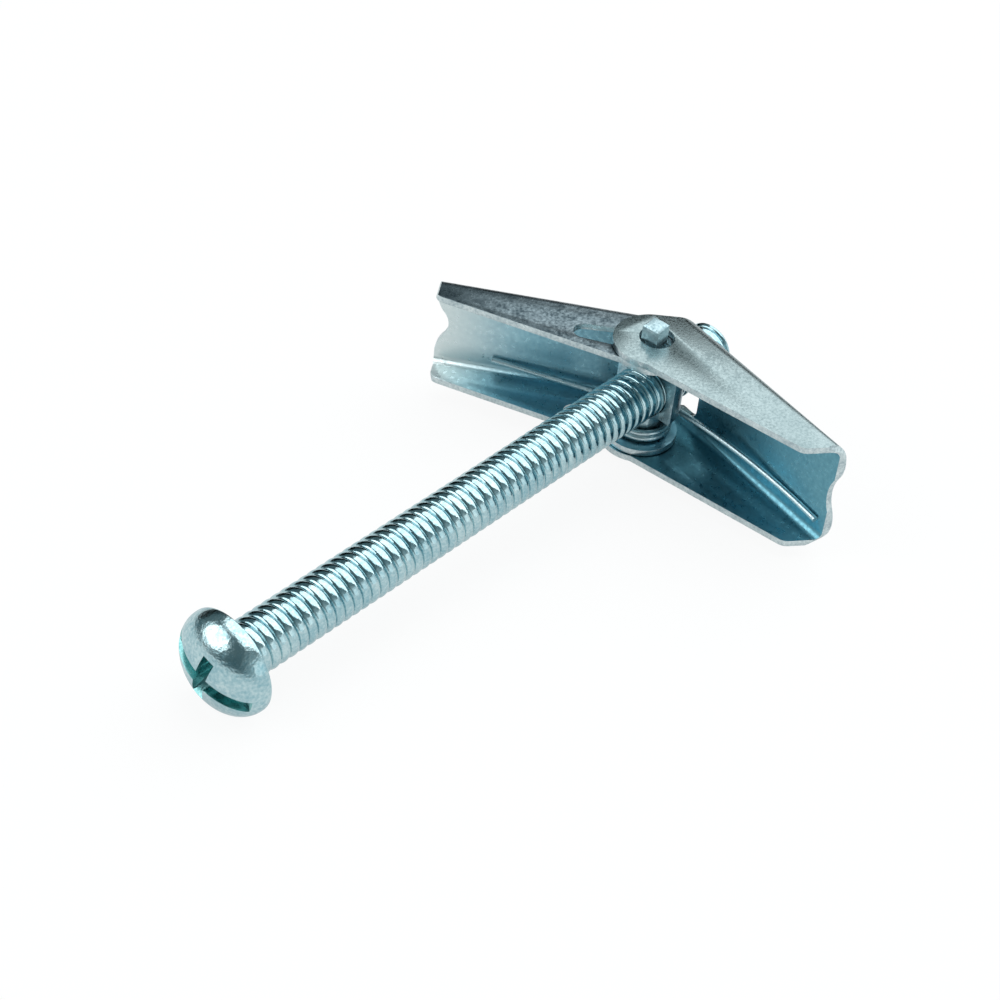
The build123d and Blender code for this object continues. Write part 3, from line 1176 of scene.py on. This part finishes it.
class TOGGLEBOLT_OT_studio(Operator):
    """Set up the white sweep, the lamps, the black card and the camera"""

    bl_idname = "toggle_bolt.studio"
    bl_label = "Studio"

    def execute(self, context):
        sizes = context.scene.toggle_studio
        scene = context.scene
        scene.view_settings.view_transform = "Standard"
        self.add_camera(scene, sizes)
        self.add_floor(sizes)
        self.add_world(scene, sizes)
        self.add_lamps(sizes)
        self.add_card(sizes)
        return {"FINISHED"}

    def add_camera(self, scene, sizes):
        """The camera at the photograph's view."""
        data = bpy.data.cameras.new("photo_camera")
        data.lens = sizes.lens
        data.clip_start = CLIP_NEAR
        data.clip_end = CLIP_FAR
        camera = link_object("photo_camera", data)
        ahead = (CAMERA_AIM - CAMERA_PLACE).normalized()
        right = ahead.cross(CAMERA_UP).normalized()
        up = right.cross(ahead)
        turn = Matrix((right, up, -ahead)).transposed().to_4x4()
        camera.matrix_world = SET @ Matrix.Translation(CAMERA_PLACE * MM) @ turn
        scene.camera = camera

    def add_floor(self, sizes):
        """White paper: matt, takes a soft shadow, and is lit up to plain white for the camera."""
        form = bmesh.new()
        bmesh.ops.create_grid(form, x_segments=1, y_segments=1, size=sizes.floor_width / 2)
        mesh = mesh_of(form, "paper_sweep")
        floor = link_object("paper_sweep", mesh)
        material = bpy.data.materials.new("white_paper")
        tree = empty_tree(material)
        paper = add_node(tree, "ShaderNodeBsdfDiffuse", {"Color": linear(sizes.floor_colour)})
        glow = add_node(tree, "ShaderNodeEmission", {"Color": WHITE, "Strength": sizes.glow_strength})
        path = add_node(tree, "ShaderNodeLightPath").outputs
        mirrored = add_node(
            tree, "ShaderNodeMath", {0: path["Is Glossy Ray"], 1: sizes.mirror_glow}, operation="MULTIPLY"
        )
        share = add_node(
            tree,
            "ShaderNodeMath",
            {0: path["Is Camera Ray"], 1: sizes.floor_glow, 2: mirrored.outputs[0]},
            operation="MULTIPLY_ADD",
        )
        mixed = add_node(
            tree, "ShaderNodeMixShader", {0: share.outputs[0], 1: paper.outputs[0], 2: glow.outputs[0]}
        )
        add_node(tree, "ShaderNodeOutputMaterial", {"Surface": mixed.outputs[0]})
        mesh.materials.append(material)

    def add_world(self, scene, sizes):
        """Grey studio walls with a paler one at the front, which the camera sees as white."""
        world = bpy.data.worlds.new("studio_room")
        scene.world = world
        tree = empty_tree(world)
        way = add_node(tree, "ShaderNodeTexCoord").outputs["Generated"]
        lean = add_node(tree, "ShaderNodeSeparateXYZ", {"Vector": way})
        front = add_node(
            tree,
            "ShaderNodeMapRange",
            {"Value": lean.outputs["Y"], "From Min": FRONT_WALL[0], "From Max": FRONT_WALL[1]},
        )
        walls = add_node(
            tree,
            "ShaderNodeMix",
            {
                "Factor_Float": front.outputs[0],
                "A_Color": linear(sizes.room_colour),
                "B_Color": linear(sizes.front_colour),
            },
            data_type="RGBA",
        )
        room = add_node(tree, "ShaderNodeBackground", {"Color": find_socket(walls.outputs, "Result_Color")})
        white = add_node(tree, "ShaderNodeBackground", {"Color": WHITE})
        path = add_node(tree, "ShaderNodeLightPath").outputs
        mixed = add_node(
            tree, "ShaderNodeMixShader", {0: path["Is Camera Ray"], 1: room.outputs[0], 2: white.outputs[0]}
        )
        add_node(tree, "ShaderNodeOutputWorld", {"Surface": mixed.outputs[0]})

    def add_lamps(self, sizes):
        """Three soft lamps that look at the set, their width as near to X as it can be."""
        for name, shape, power, place, size in (
            ("overhead_softbox", "RECTANGLE", sizes.softbox_power, sizes.softbox_place, sizes.softbox_size),
            ("front_fill", "RECTANGLE", sizes.fill_power, sizes.fill_place, sizes.fill_size),
            ("side_softbox", "ELLIPSE", sizes.side_power, sizes.side_place, sizes.side_size),
        ):
            data = bpy.data.lights.new(name, "AREA")
            data.energy = power
            data.shape = shape
            data.size, data.size_y = size
            lamp = link_object(name, data)
            away = Vector(place).normalized()
            along = (Vector((1, 0, 0)) - away * away.x).normalized()
            turn = Matrix((along, away.cross(along), away)).transposed().to_4x4()
            lamp.matrix_world = Matrix.Translation(place) @ turn
            lamp.visible_camera = False

    def add_card(self, sizes):
        """A matt black card at the back right, which the top edge of the screw mirrors."""
        middle = Vector(sizes.card_place)
        width, height = sizes.card_size
        up = Vector((0, 0, 1))
        aside = Vector((middle.x, middle.y, 0)).normalized().cross(up)
        form = bmesh.new()
        points = []
        for right, top in CORNERS:
            points.append(form.verts.new(middle + aside * right * width / 2 + up * top * height / 2))
        form.faces.new(points)
        mesh = mesh_of(form, "black_card")
        card = link_object("black_card", mesh)
        material = bpy.data.materials.new("black_card")
        tree = empty_tree(material)
        board = add_node(tree, "ShaderNodeBsdfDiffuse", {"Color": linear(sizes.card_colour)})
        add_node(tree, "ShaderNodeOutputMaterial", {"Surface": board.outputs[0]})
        mesh.materials.append(material)
        card.visible_camera = False
        card.visible_shadow = False


class TOGGLEBOLT_PT_build(Panel):
    """Sidebar panel that lists the operators"""

    bl_idname = "TOGGLEBOLT_PT_build"
    bl_label = "Toggle bolt"
    bl_space_type = "VIEW_3D"
    bl_region_type = "UI"
    bl_category = "Toggle Bolt"

    def draw(self, context):
        for operator in OPERATORS:
            self.layout.operator(operator.bl_idname)


OPERATORS = (
    TOGGLEBOLT_OT_screw,
    TOGGLEBOLT_OT_wings,
    TOGGLEBOLT_OT_nut,
    TOGGLEBOLT_OT_spring,
    TOGGLEBOLT_OT_studio,
)
GROUPS = {
    "toggle_screw": ScrewSizes,
    "toggle_wings": WingSizes,
    "toggle_nut": NutSizes,
    "toggle_spring": SpringSizes,
    "toggle_studio": StudioSizes,
}
CLASSES = (*GROUPS.values(), *OPERATORS, TOGGLEBOLT_PT_build)


def register():
    """Adds the classes, and the sizes to each scene."""
    for item in CLASSES:
        bpy.utils.register_class(item)
    for name, group in GROUPS.items():
        setattr(bpy.types.Scene, name, PointerProperty(type=group))


def unregister():
    """Takes both away again."""
    for name in GROUPS:
        delattr(bpy.types.Scene, name)
    for item in reversed(CLASSES):
        bpy.utils.unregister_class(item)


def main():
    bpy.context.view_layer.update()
    register()
    bpy.ops.toggle_bolt.screw()
    bpy.ops.toggle_bolt.wings()
    bpy.ops.toggle_bolt.nut()
    bpy.ops.toggle_bolt.spring()
    bpy.ops.toggle_bolt.studio()
    bpy.context.view_layer.update()


if __name__ == "__main__":
    main()
